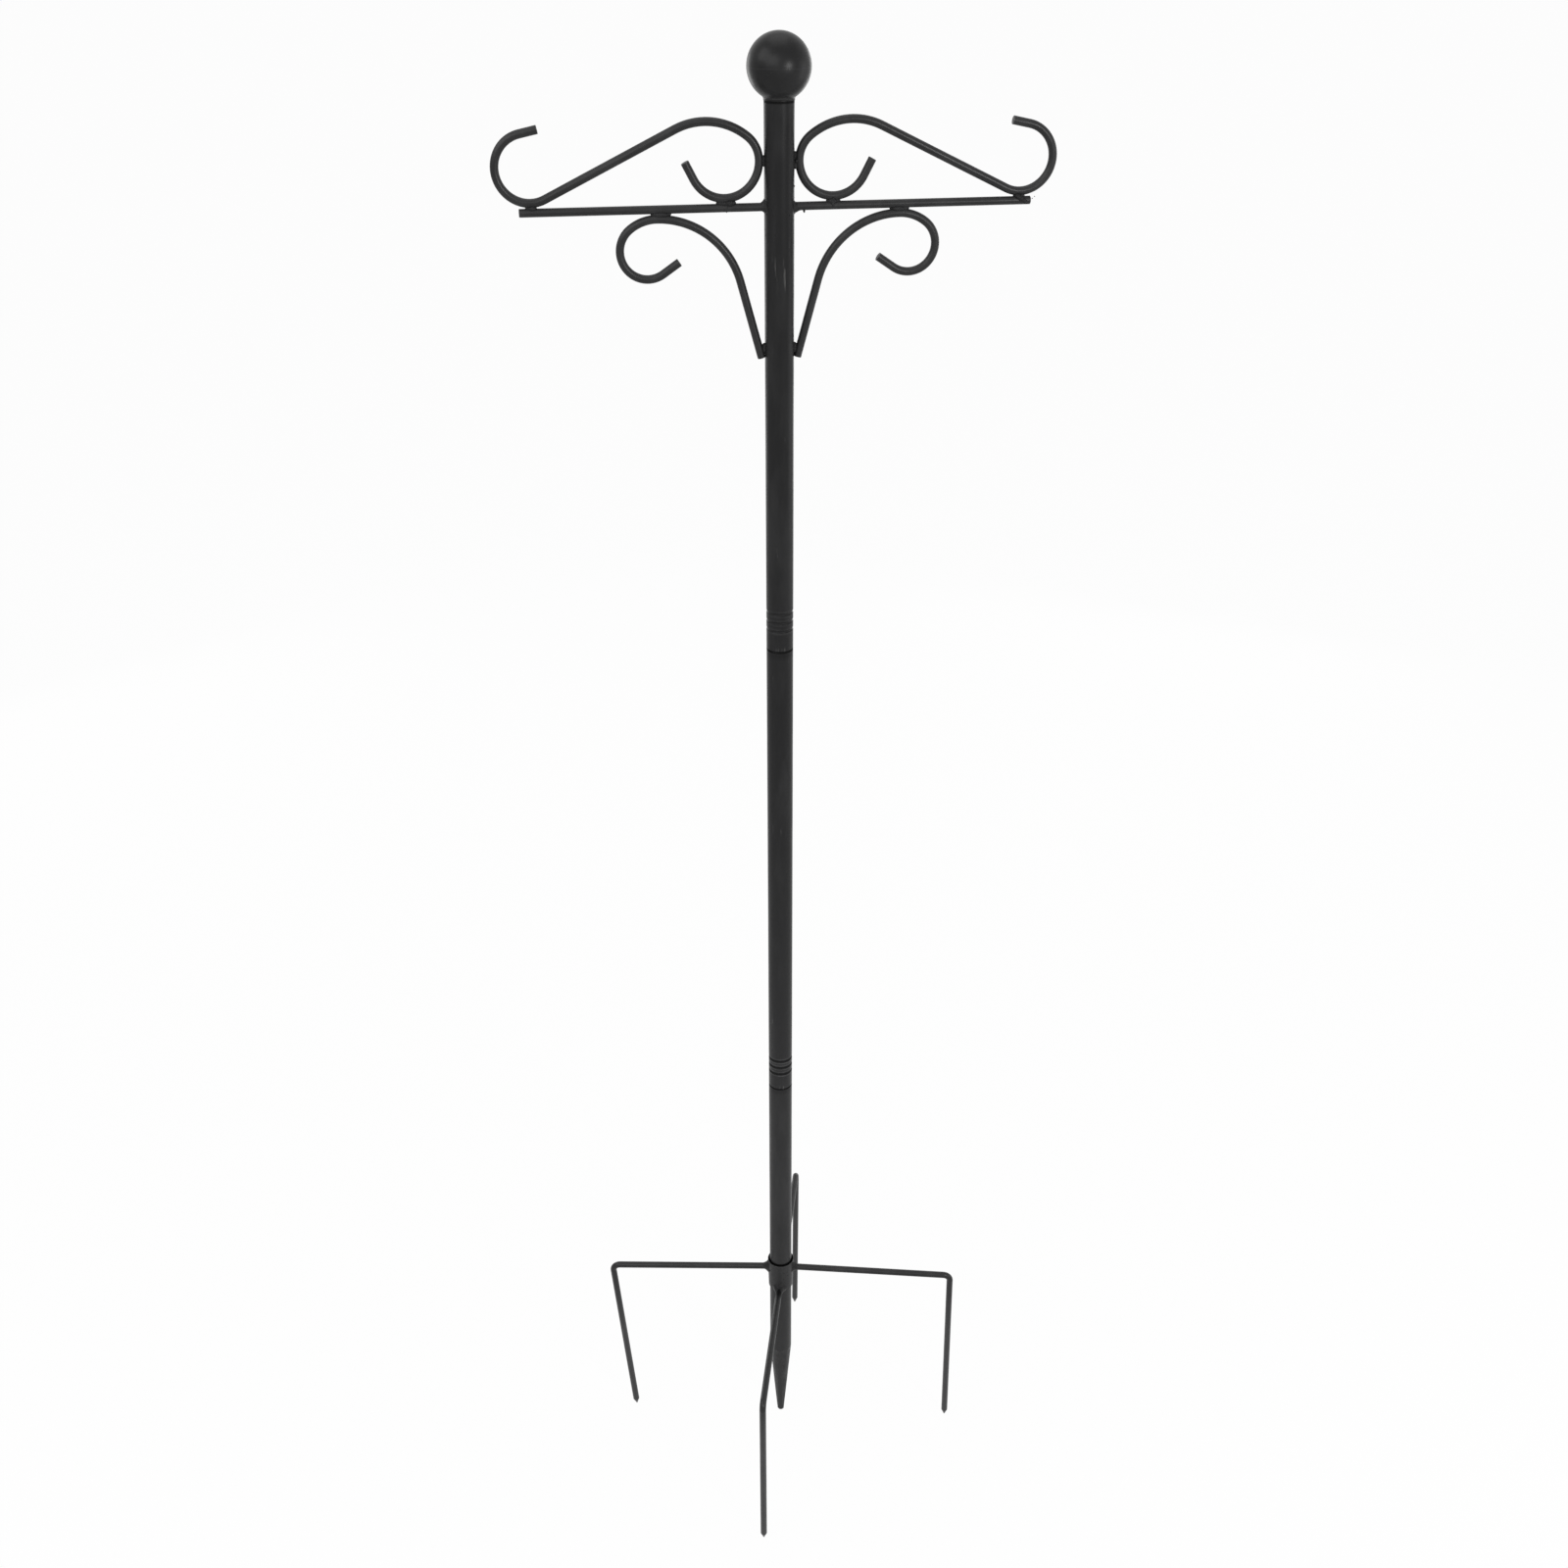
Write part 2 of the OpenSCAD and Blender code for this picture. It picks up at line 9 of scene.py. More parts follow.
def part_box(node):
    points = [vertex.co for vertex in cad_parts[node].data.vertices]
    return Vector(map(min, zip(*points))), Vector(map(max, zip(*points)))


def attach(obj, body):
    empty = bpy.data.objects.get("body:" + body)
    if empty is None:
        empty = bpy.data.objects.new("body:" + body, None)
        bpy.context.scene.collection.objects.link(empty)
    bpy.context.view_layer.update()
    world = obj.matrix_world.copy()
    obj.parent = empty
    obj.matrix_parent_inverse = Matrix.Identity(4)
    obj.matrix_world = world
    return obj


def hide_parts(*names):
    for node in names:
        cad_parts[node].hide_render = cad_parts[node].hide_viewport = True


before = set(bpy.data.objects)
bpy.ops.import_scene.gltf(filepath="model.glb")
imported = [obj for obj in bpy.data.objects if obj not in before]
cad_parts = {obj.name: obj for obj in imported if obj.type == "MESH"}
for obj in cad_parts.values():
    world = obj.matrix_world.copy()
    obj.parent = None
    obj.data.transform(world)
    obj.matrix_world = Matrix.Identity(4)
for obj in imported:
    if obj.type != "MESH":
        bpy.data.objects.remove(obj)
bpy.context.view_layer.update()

# A hanging plant stand in satin black powder coat. All sizes are in metres,
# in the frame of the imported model: +Z up along the pole, the arms along X.

# -------------------------------------------------------------------- sizes

POLE_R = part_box("top_tube")[1].x
SCROLL_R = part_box("right_upper_scroll")[1].y
BAR_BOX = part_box("right_bar")
BAR_R = BAR_BOX[1].y
BAR_Z = (BAR_BOX[0].z + BAR_BOX[1].z) / 2
POLE_TOP_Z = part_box("top_tube")[1].z
UPPER_SEAM_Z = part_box("top_tube")[0].z
LOWER_SEAM_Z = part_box("middle_tube")[0].z
COLLAR_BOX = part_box("bracket_collar")
COLLAR_FOOT_Z, RIM_Z = COLLAR_BOX[0].z, COLLAR_BOX[1].z
BALL_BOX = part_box("finial_ball")
BALL_Z = BALL_BOX[1].z - (BALL_BOX[1].x - BALL_BOX[0].x) / 2

WELD_GAP = 0.0006            # narrow gap between rods that a weld fills
PRONG_R = 0.0036
HOOK_X = 0.2028              # where the outer hook touches the bar
LOOP_R = 0.0285              # centreline radius of the inner loop's lower bend
CROWN_X = 0.1014             # where the lower scroll touches the bar
LEG_LEAN = math.radians(15.2)
LEG_PAST = 0.0045            # length of the leg's end past its weld
COLLAR_FOOT_R = 0.0139       # outside of the tapered collar, at its foot
COLLAR_RIM_R = 0.0149        # and at its rim
COLLAR_WALL = 0.0011
SIDE_ARM_DROP = 0.0127       # from the collar's rim to the side arms at the axis
SIDE_DROOP = math.radians(1.9)
SIDE_TURN = math.radians(-10.65)
LOW_TURN = math.radians(-14.15)
GROOVES = (0.021, 0.0295, 0.038)     # heights of the rolled grooves over a seam
GROOVE_HALF_W = 0.0016       # half the width of a groove at the tube's surface

BESIDE_POLE = POLE_R + WELD_GAP + SCROLL_R
OFF_BAR = BAR_R + WELD_GAP + SCROLL_R
LOOP_X = BESIDE_POLE + LOOP_R
LOOP_Z = BAR_Z + OFF_BAR + LOOP_R
FOOT_Z = (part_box("right_lower_scroll")[0].z + SCROLL_R * math.sin(LEG_LEAN)
          + LEG_PAST * math.cos(LEG_LEAN))
SIDE_ROOT_Z = RIM_Z - SIDE_ARM_DROP
LOW_ROOT_Z = COLLAR_FOOT_Z + PRONG_R
COLLAR_TAPER = (COLLAR_RIM_R - COLLAR_FOOT_R) / (RIM_Z - COLLAR_FOOT_Z)


def collar_r(z):
    """The collar's outside radius at a height."""
    return COLLAR_FOOT_R + (z - COLLAR_FOOT_Z) * COLLAR_TAPER


# ------------------------------------------------------------------- camera

PHOTO_SIDE = 1600            # pixels
CAMERA_F = 1703              # focal length in pixels of the photograph
SENSOR = 36.0                # millimetres
CAMERA_HEIGHT = 1.6853
CAMERA_DISTANCE = 1.433      # from the pole's axis
CAMERA_ROUND = math.radians(8.0)      # how far round to the left of the front
CAMERA_YAW = math.radians(0.156)      # how far the view passes right of the pole
CAMERA_TILT = math.radians(29.15)     # below the horizon
CAMERA_SEES = (0.05, 200.0)  # nearest and farthest


def make_camera():
    data = bpy.data.cameras.new("camera")
    data.sensor_width = SENSOR
    data.lens = CAMERA_F / PHOTO_SIDE * SENSOR
    data.clip_start, data.clip_end = CAMERA_SEES
    camera = bpy.data.objects.new("camera", data)
    camera.location = (-CAMERA_DISTANCE * math.sin(CAMERA_ROUND),
                       -CAMERA_DISTANCE * math.cos(CAMERA_ROUND),
                       CAMERA_HEIGHT)
    camera.rotation_euler = (math.pi / 2 - CAMERA_TILT, 0, -CAMERA_ROUND - CAMERA_YAW)
    bpy.context.scene.collection.objects.link(camera)
    bpy.context.scene.camera = camera


# ---------------------------------------------------------- shader building

MIX_A, MIX_B, MIX_RESULT = 6, 7, 2   # the colour sockets of a Mix node
NEAR_CORE = 0.3              # share of a near() mask's radius over which it is 1
LOOKS_UP = (0.0, 0.85)       # upward part of the normal: none of the painted top light to all of it
EDGE_SAMPLES = 6
EDGE_TURN = (0.90, 0.995, 1.0, 0.0)  # from the normal's bend at an edge to the mask


class Nodes:
    """A node tree that is built from short calls. A value that is a socket is
    linked, and any other value is set on the socket itself."""

    def __init__(self, owner):
        owner.use_nodes = True
        self.tree = owner.node_tree

    def set(self, node, inputs):
        for key, value in inputs.items():
            if isinstance(value, bpy.types.NodeSocket):
                self.tree.links.new(value, node.inputs[key])
            else:
                node.inputs[key].default_value = value

    def add(self, kind, inputs=None, **settings):
        node = self.tree.nodes.new(kind)
        for key, value in settings.items():
            setattr(node, key, value)
        self.set(node, inputs or {})
        return node

    def math(self, operation, a, b=0.0):
        return self.add("ShaderNodeMath", {0: a, 1: b}, operation=operation).outputs[0]

    def vector_math(self, operation, a, b=(0, 0, 0)):
        return self.add("ShaderNodeVectorMath", {0: a, 1: b}, operation=operation)


class Shader(Nodes):
    """The nodes of a new material, with the patterns and masks that its
    colour, gloss and relief are made from. A mask is 1 where it applies."""

    def __init__(self, name):
        self.material = bpy.data.materials.new(name)
        super().__init__(self.material)
        self.surface = self.tree.nodes["Principled BSDF"]
        self.place = self.add("ShaderNodeTexCoord").outputs["Object"]

    def noise(self, pattern, stretch=None):
        """A pattern's noise, about 0.5. stretch scales the coordinates."""
        scale, detail, roughness = pattern
        place = self.place
        if stretch:
            place = self.vector_math("MULTIPLY", place, stretch).outputs[0]
        return self.add("ShaderNodeTexNoise",
                        {"Vector": place, "Scale": scale, "Detail": detail,
                         "Roughness": roughness}).outputs["Fac"]

    def window(self, value, low, high, to_low=0.0, to_high=1.0):
        """value from low to high becomes to_low to to_high, held at both ends."""
        return self.add("ShaderNodeMapRange",
                        {"Value": value, "From Min": low, "From Max": high,
                         "To Min": to_low, "To Max": to_high},
                        interpolation_type="SMOOTHSTEP").outputs["Result"]

    def share_of(self, mask, share):
        """The mask, weaker."""
        return self.math("MULTIPLY", mask, share)

    def any_of(self, masks):
        """The strongest of the masks."""
        total = masks[0]
        for mask in masks[1:]:
            total = self.math("MAXIMUM", total, mask)
        return total

    def blend(self, share, a, b):
        """Colour a, turning to colour b where share is 1."""
        node = self.add("ShaderNodeMix", {"Factor": share}, data_type="RGBA")
        self.set(node, {MIX_A: a, MIX_B: b})
        return node.outputs[MIX_RESULT]

    def bump(self, height, relief, normal=None, scale=1.0):
        """Relief from a pattern, over the relief of normal if that is given."""
        depth, strength = relief
        inputs = {"Height": height, "Distance": depth * scale, "Strength": strength}
        if normal:
            inputs["Normal"] = normal
        return self.add("ShaderNodeBump", inputs).outputs["Normal"]

    def height(self):
        """The height of the shaded point above the ground."""
        return self.add("ShaderNodeSeparateXYZ", {0: self.place}).outputs["Z"]

    def band(self, level, half_width, core=0.0):
        """1 within core of a height, falling to 0 at half_width from it."""
        off = self.math("ABSOLUTE", self.math("SUBTRACT", self.height(), level))
        return self.window(off, core, half_width, 1.0, 0.0)

    def radius(self):
        """The shaded point's distance from the pole's axis."""
        flat = self.vector_math("MULTIPLY", self.place, (1, 1, 0)).outputs[0]
        return self.vector_math("LENGTH", flat).outputs["Value"]

    def near(self, point, radius):
        """1 at a point, falling to 0 at a radius from it."""
        off = self.vector_math("DISTANCE", self.place, point).outputs["Value"]
        return self.window(off, radius * NEAR_CORE, radius, 1.0, 0.0)

    def facing_up(self):
        """0 on upright and lower faces, rising to 1 on faces that look up."""
        normal = self.add("ShaderNodeNewGeometry").outputs["Normal"]
        rise = self.add("ShaderNodeSeparateXYZ", {0: normal}).outputs["Z"]
        return self.window(rise, *LOOKS_UP)

    def edges(self, radius):
        """1 along the convex and concave edges of the solid."""
        soft = self.add("ShaderNodeBevel", {"Radius": radius},
                        samples=EDGE_SAMPLES).outputs[0]
        sharp = self.add("ShaderNodeNewGeometry").outputs["Normal"]
        same = self.vector_math("DOT_PRODUCT", soft, sharp).outputs["Value"]
        return self.window(same, *EDGE_TURN)


# ----------------------------------------------------- colours and patterns

BLACK = (0.0133, 0.0133, 0.0137, 1)  # fresh coat
DUSTED = (0.0210, 0.0210, 0.0215, 1)  # coat with a dry, thin film of dust
RUBBED_AND_LIT = (0.090, 0.090, 0.091, 1)    # coat rubbed pale along an edge; also the painted highlight on the groove lips
SCUFFED = (0.130, 0.129, 0.126, 1)   # a light scratch
PAINTED_SHADE = (0.005, 0.005, 0.005, 1)    # painted shade: the dark in a seam, a groove's bottom, and round the collar and prong roots
PAINTED_LIGHT = (0.083, 0.083, 0.084, 1)   # painted light: paler coat on upper sides, near the ground and in the ball's neck
BALL_BLACK = (0.0076, 0.0076, 0.0079, 1)
BALL_CLOUDED = (0.0117, 0.0117, 0.0121, 1)
SLEEVE_COAT = (0.03, 0.03, 0.031, 1)
SLEEVE_BARE = (0.16, 0.155, 0.15, 1)
WHITE = (1, 1, 1, 1)

# Patterns of noise: scale per metre, detail, roughness.
CLOUDS = (14.0, 4.0, 0.6)            # slow drift of gloss and level
DUST_PATCHES = (55.0, 3.0, 0.55)
EDGE_WEAR = (160.0, 2.0, 0.5)
STREAKS = (420.0, 3.0, 0.65)
SCUFF_PLACES = (26.0, 1.0, 0.5)
LIP_BREAKUP = (120.0, 2.0, 0.5)
CHIPS = (900.0, 3.0, 0.7)
ORANGE_PEEL = (520.0, 2.0, 0.5)
FINE_GRAIN = (2600.0, 2.0, 0.7)
WELD_LUMPS = (700.0, 3.0, 0.6)
WELD_DUST = (90.0, 2.0, 0.5)
BALL_CLOUDS = (38.0, 3.0, 0.55)
BALL_GRAIN = (1900.0, 3.0, 0.7)
BALL_SPECKS = (850.0, 1.0, 0.5)
DRAWN_LINES = (700.0, 3.0, 0.6)
SLEEVE_WEAR = (60.0, 3.0, 0.5)

# The stretch of patterns that run upright: a lower Z makes them longer.
PATCH_STRETCH = (1, 1, 0.25)
STREAK_STRETCH = (1, 1, 0.07)
DRAWN_STRETCH = (1, 1, 0.03)

# Where a pattern shows: not at all up to the first value, in full from the
# second. With two more values, these are the mask at both.
DUST_SHOWS = (0.42, 0.72)
EDGE_WEAR_SHOWS = (0.35, 0.6)
MARKS_SHOW = (0.66, 0.76)            # of the streaks, anywhere on a coat
LOCAL_MARKS_SHOW = (0.55, 0.7)       # of the streaks, where a coat has more
SCUFF_PLACES_SHOW = (0.5, 0.68)
LIP_BREAKUP_SHOWS = (0.35, 0.6, 0.35, 1.0)
CHIPS_SHOW = (0.56, 0.64)
WELD_DUST_SHOWS = (0.4, 0.7)
WELD_RUB_SHOWS = (0.68, 0.82, 0.0, 0.6)
BALL_CLOUDS_SHOW = (0.35, 0.7)
SPECKS_SHOW = (0.74, 0.8)
SLEEVE_WEAR_SHOWS = (0.45, 0.65)
SLEEVE_RUB_SHOWS = (0.4, 0.7)
MOST_OF_IT = (0.3, 0.7)              # the part of a noise that drives roughness

# Relief of the patterns: depth, strength.
PEEL_RELIEF = (0.00005, 0.5)
GRAIN_RELIEF = (0.000012, 0.55)
CLOUD_RELIEF = (0.0004, 0.15)
LUMP_RELIEF = (0.00016, 0.6)
BALL_RELIEF = (0.0009, 0.2)
BALL_GRAIN_RELIEF = (0.00002, 0.5)
PARTING_RELIEF = (0.0001, 0.4)
DRAWN_RELIEF = (0.00004, 0.5)


# -------------------------------------------------------------- powder coat

EDGE_R = 0.0007              # width of the rub along an edge
EDGE_RUB = 0.75              # how far it turns the coat to RUBBED_AND_LIT
EDGE_SMOOTHS = 0.06          # and how much roughness it takes off
SCUFF_ROUGHENS = 0.12
ROUGHNESS_DRIFT = (-0.05, 0.06)
POLE_SPECULAR = 0.09

# Painted light near the ground, on all sides, making the coat paler: its share
# # in full up to the first height, and none from the second.
LOW_LIFT = (0.15, 1.15, 0.19)
PRONG_LOW_LIFT = (0.12, 0.232, 0.30)


def coat_colour(s, lit_tops, low_lift):
    """The coat's black under patches of a thin film of dust, with painted light making upper
    sides and the coat near the ground paler.
    """
    patches = s.noise(DUST_PATCHES, PATCH_STRETCH)
    base = s.blend(s.window(patches, *DUST_SHOWS), BLACK, DUSTED)
    # Painted light: paler upper sides, and paler coat near the ground.
    if lit_tops:
        base = s.blend(s.share_of(s.facing_up(), lit_tops), base, PAINTED_LIGHT)
    full_to, none_from, share = low_lift
    return s.blend(s.window(s.height(), full_to, none_from, share, 0.0), base, PAINTED_LIGHT)


def scuff_mask(s, scuffs, extra_scuffs):
    """Long faint scratches in places, and denser ones where extra_scuffs is 1."""
    streaks = s.noise(STREAKS, STREAK_STRETCH)
    places = s.window(s.noise(SCUFF_PLACES), *SCUFF_PLACES_SHOW)
    scuff = s.math("MULTIPLY", s.window(streaks, *MARKS_SHOW), s.share_of(places, scuffs))
    if not extra_scuffs:
        return scuff
    local = s.math("MULTIPLY", s.window(streaks, *LOCAL_MARKS_SHOW), extra_scuffs(s))
    return s.any_of([scuff, local])


def coat_skin(s, clouds, peel):
    """The relief of the coat: orange peel, fine grain and a slow swell."""
    skin = s.bump(s.noise(ORANGE_PEEL), PEEL_RELIEF, scale=peel)
    skin = s.bump(s.noise(FINE_GRAIN), GRAIN_RELIEF, skin, peel)
    return s.bump(clouds, CLOUD_RELIEF, skin, peel)


def powder_coat(name, roughness, peel, scuffs=0.5, extra_scuffs=None, lit_tops=0.0,
                low_lift=LOW_LIFT, shade_mask=None, pale_lips=None, specular=POLE_SPECULAR):
    """Satin powder coat: orange peel and fine grain in the bump, cloudy gloss,
    long faint scuffs, and edges rubbed paler. peel and scuffs scale the
    relief and the marks. The share given for upper sides paints light on
    them, and the low share paints the coat paler near the ground. Three
    functions may be given that return a mask: where the marks are strongest,
    where shade is painted dark and the gloss is taken away, and where the
    groove lips are painted paler, a painted highlight over rubbed coat."""
    s = Shader(name)
    clouds = s.noise(CLOUDS)
    base = coat_colour(s, lit_tops, low_lift)
    edge = s.math("MULTIPLY", s.edges(EDGE_R), s.window(s.noise(EDGE_WEAR), *EDGE_WEAR_SHOWS))
    base = s.blend(s.share_of(edge, EDGE_RUB), base, RUBBED_AND_LIT)
    scuff = scuff_mask(s, scuffs, extra_scuffs)
    base = s.blend(scuff, base, SCUFFED)
    # Painted highlight on the groove lips, over rubbed coat.
    if pale_lips:
        base = s.blend(pale_lips(s), base, RUBBED_AND_LIT)
    gloss = specular
    # Painted shade: the mask darkens the colour and takes the gloss away.
    if shade_mask:
        shade_share = shade_mask(s)
        base = s.blend(shade_share, base, PAINTED_SHADE)
        gloss = s.window(shade_share, 0.0, 1.0, specular, 0.0)

    less, more = ROUGHNESS_DRIFT
    rough = s.window(clouds, *MOST_OF_IT, roughness + less, roughness + more)
    rough = s.math("ADD", rough, s.share_of(scuff, SCUFF_ROUGHENS))
    rough = s.math("SUBTRACT", rough, s.share_of(edge, EDGE_SMOOTHS))
    s.set(s.surface, {"Base Color": base, "Roughness": rough,
                      "Normal": coat_skin(s, clouds, peel), "Specular IOR Level": gloss})
    return s.material


# ------------------------------------------------- marks, painted shade and painted highlights on the pole's coat

# The seam that the grooves stand over, the share of painted shade in them, and
# # the share of paler lips beside them, a painted highlight over coat rubbed by
# # fitting: the upper grooves are painted fainter than the lower ones.
GROOVE_MARKS = ((UPPER_SEAM_Z, 0.12, 0.14), (LOWER_SEAM_Z, 0.62, 0.50))
LIP_OFF = GROOVE_HALF_W + 0.0010     # from a groove's middle to each of its lips
LIP_HALF_W = 0.0012
SEAMS = (UPPER_SEAM_Z, LOWER_SEAM_Z)

# Bands at a level: half width, and the core in which they are whole.
GROOVE_SHADE = (GROOVE_HALF_W * 1.3, GROOVE_HALF_W * 0.75)
SEAM_LINE = (0.0017, 0.0009)
BALL_SEAM_LINE = (0.0020, 0.0010)
COLLAR_SHADE = (0.0045, 0.0025)

# Painted shade: a dark line in each seam and under the ball, and a softer shade below the
# seams.
BALL_SEAM_DROP = 0.0004      # the line under the ball, below the tube's end
SEAM_DARK = 0.75
SHADE_DROP = 0.0035          # the soft shade of a seam, below it
SHADE_HALF_W = 0.0060
SHADE_DARK = 0.28
COLLAR_SHADE_IN = 0.0015      # from the collar's ends to the middle of the painted shade there

# Spots that are marked: the middle and the radius, and how strong the marks are.
ARM_MARK = ((0.001, -POLE_R, BAR_Z - 0.050), 0.020)
ARM_MARK_SHARE = 0.5
CHIPPED = ((0.0095, -0.0085, UPPER_SEAM_Z + 0.031), 0.015)
SEAM_MARK_RISE = 0.002       # from a seam up to the middle of its marks
SEAM_MARK_HALF_W = 0.004
SEAM_MARK_SHARE = 0.45


def pole_shade(s):
    """Painted shade: dark lines in the seams between the tubes and under the
    ball, a softer shade below the seams, dark groove bottoms, and shade where
    the pole goes into the collar and out of it."""
    lines = [s.band(seam, *SEAM_LINE) for seam in SEAMS]
    lines.append(s.band(POLE_TOP_Z - BALL_SEAM_DROP, *BALL_SEAM_LINE))
    shades = [s.band(seam - SHADE_DROP, SHADE_HALF_W) for seam in SEAMS]
    grooves = [s.share_of(s.band(seam + rise, *GROOVE_SHADE), shade_share)
               for seam, shade_share, _ in GROOVE_MARKS for rise in GROOVES]
    collar_ends = [s.band(RIM_Z - COLLAR_SHADE_IN, *COLLAR_SHADE),
                   s.band(COLLAR_FOOT_Z + COLLAR_SHADE_IN, *COLLAR_SHADE)]
    return s.any_of([s.share_of(s.any_of(lines), SEAM_DARK),
                     s.share_of(s.any_of(shades), SHADE_DARK)] + grooves + collar_ends)


def pole_lips(s):
    """The lips beside the grooves, painted paler: a painted highlight over coat rubbed by
    fitting the tubes together.
    """
    lips = [s.share_of(s.band(seam + rise + way * LIP_OFF, LIP_HALF_W), lip_pale)
            for seam, _, lip_pale in GROOVE_MARKS for rise in GROOVES for way in (-1, 1)]
    return s.math("MULTIPLY", s.any_of(lips), s.window(s.noise(LIP_BREAKUP), *LIP_BREAKUP_SHOWS))


def pole_scuffs(s):
    """Marks on the front of the top tube under the arms, at the seams, and
    beside the upper grooves."""
    under_arms = s.share_of(s.near(*ARM_MARK), ARM_MARK_SHARE)
    seams = s.any_of([s.band(seam + SEAM_MARK_RISE, SEAM_MARK_HALF_W) for seam in SEAMS])
    chips = s.math("MULTIPLY", s.window(s.noise(CHIPS), *CHIPS_SHOW), s.near(*CHIPPED))
    return s.any_of([under_arms, s.share_of(seams, SEAM_MARK_SHARE), chips])


# ---------------------------------------------- shade on the bracket's coat

COLLAR_INSIDE = (-0.0002, 0.0003, 1.0, 0.0)  # from the middle of its wall, shade there
LOW_SHADE_OUT = 0.004        # off the collar, on the front and back prongs
LOW_SHADE_R = 0.019
LOW_SHADE_DARK = 0.8


def collar_inside_shade(s):
    """The shade inside the collar."""
    climb = s.math("MULTIPLY", s.math("SUBTRACT", s.height(), COLLAR_FOOT_Z), COLLAR_TAPER)
    level = s.math("SUBTRACT", s.radius(), climb)
    middle = COLLAR_FOOT_R - COLLAR_WALL / 2
    inner, outer, shade_in, shade_out = COLLAR_INSIDE
    return s.window(level, middle + inner, middle + outer, shade_in, shade_out)


def low_roots(s):
    """The shade round the roots of the front and back prongs."""
    reach = COLLAR_FOOT_R + LOW_SHADE_OUT
    turn = LOW_TURN - math.pi / 2
    x, y = reach * math.cos(turn), reach * math.sin(turn)
    both = [s.near((x, y, LOW_ROOT_Z), LOW_SHADE_R), s.near((-x, -y, LOW_ROOT_Z), LOW_SHADE_R)]
    return s.share_of(s.any_of(both), LOW_SHADE_DARK)


# ---------------------------------------------------------- other materials

WELD_ROUGHNESS = (0.36, 0.5)
WELD_SPECULAR = 0.12
BALL_ROUGHNESS = (0.30, 0.37)
BALL_SPECULAR = 0.165
PARTING_HALF_W = 0.00035     # the line where the ball's mould parted
PARTING_PALE = 0.12
SPECK_PALE = 0.35
NECK_LIFT = (POLE_TOP_Z + 0.002, POLE_TOP_Z + 0.008, 0.12, 0.0)  # painted light in the neck's hollow: heights, shares there
NECK_SEAM = (0.0016, 0.0010)         # half width and core of the painted shade line below it
SLEEVE_METAL = 0.4
SLEEVE_ROUGHNESS = (0.32, 0.5)


def make_weld_coat():
    """Coat over a weld: thicker, lumpier and a little glossier."""
    s = Shader("weld_coat")
    lumps = s.noise(WELD_LUMPS)
    base = s.blend(s.window(s.noise(WELD_DUST), *WELD_DUST_SHOWS), BLACK, DUSTED)
    base = s.blend(s.window(lumps, *WELD_RUB_SHOWS), base, RUBBED_AND_LIT)
    skin = s.bump(lumps, LUMP_RELIEF)
    skin = s.bump(s.noise(FINE_GRAIN), GRAIN_RELIEF, skin)
    rough = s.window(lumps, *MOST_OF_IT, *WELD_ROUGHNESS)
    s.set(s.surface, {"Base Color": base, "Roughness": rough, "Normal": skin,
                      "Specular IOR Level": WELD_SPECULAR})
    return s.material


def make_ball_plastic():
    """Moulded plastic ball: satin, slightly uneven, with a faint parting line, painted light
    in the neck's hollow and a painted shade line at the seam under it.
    """
    s = Shader("ball_plastic")
    clouds = s.noise(BALL_CLOUDS)
    line = s.band(BALL_Z, PARTING_HALF_W)
    specks = s.window(s.noise(BALL_SPECKS), *SPECKS_SHOW)
    base = s.blend(s.window(clouds, *BALL_CLOUDS_SHOW), BALL_BLACK, BALL_CLOUDED)
    base = s.blend(s.share_of(line, PARTING_PALE), base, RUBBED_AND_LIT)
    base = s.blend(s.share_of(specks, SPECK_PALE), base, SCUFFED)
    # Painted light lifts the neck's hollow, and painted shade darkens the seam under the ball.
    base = s.blend(s.window(s.height(), *NECK_LIFT), base, PAINTED_LIGHT)
    base = s.blend(s.band(POLE_TOP_Z, *NECK_SEAM), base, PAINTED_SHADE)
    skin = s.bump(clouds, BALL_RELIEF)
    skin = s.bump(s.noise(BALL_GRAIN), BALL_GRAIN_RELIEF, skin)
    skin = s.bump(line, PARTING_RELIEF, skin)
    rough = s.window(clouds, *MOST_OF_IT, *BALL_ROUGHNESS)
    s.set(s.surface, {"Base Color": base, "Roughness": rough, "Normal": skin,
                      "Specular IOR Level": BALL_SPECULAR})
    return s.material


def make_sleeve_steel():
    """Dark coated steel of the sleeves, drawn lengthwise and rubbed by fitting."""
    s = Shader("sleeve_steel")
    drawn = s.noise(DRAWN_LINES, DRAWN_STRETCH)
    worn = s.window(s.noise(SLEEVE_WEAR), *SLEEVE_WEAR_SHOWS)
    bare = s.math("MULTIPLY", worn, s.window(drawn, *SLEEVE_RUB_SHOWS))
    s.set(s.surface, {"Base Color": s.blend(bare, SLEEVE_COAT, SLEEVE_BARE),
                      "Metallic": SLEEVE_METAL,
                      "Roughness": s.window(drawn, *MOST_OF_IT, *SLEEVE_ROUGHNESS),
                      "Normal": s.bump(drawn, DRAWN_RELIEF)})
    return s.material


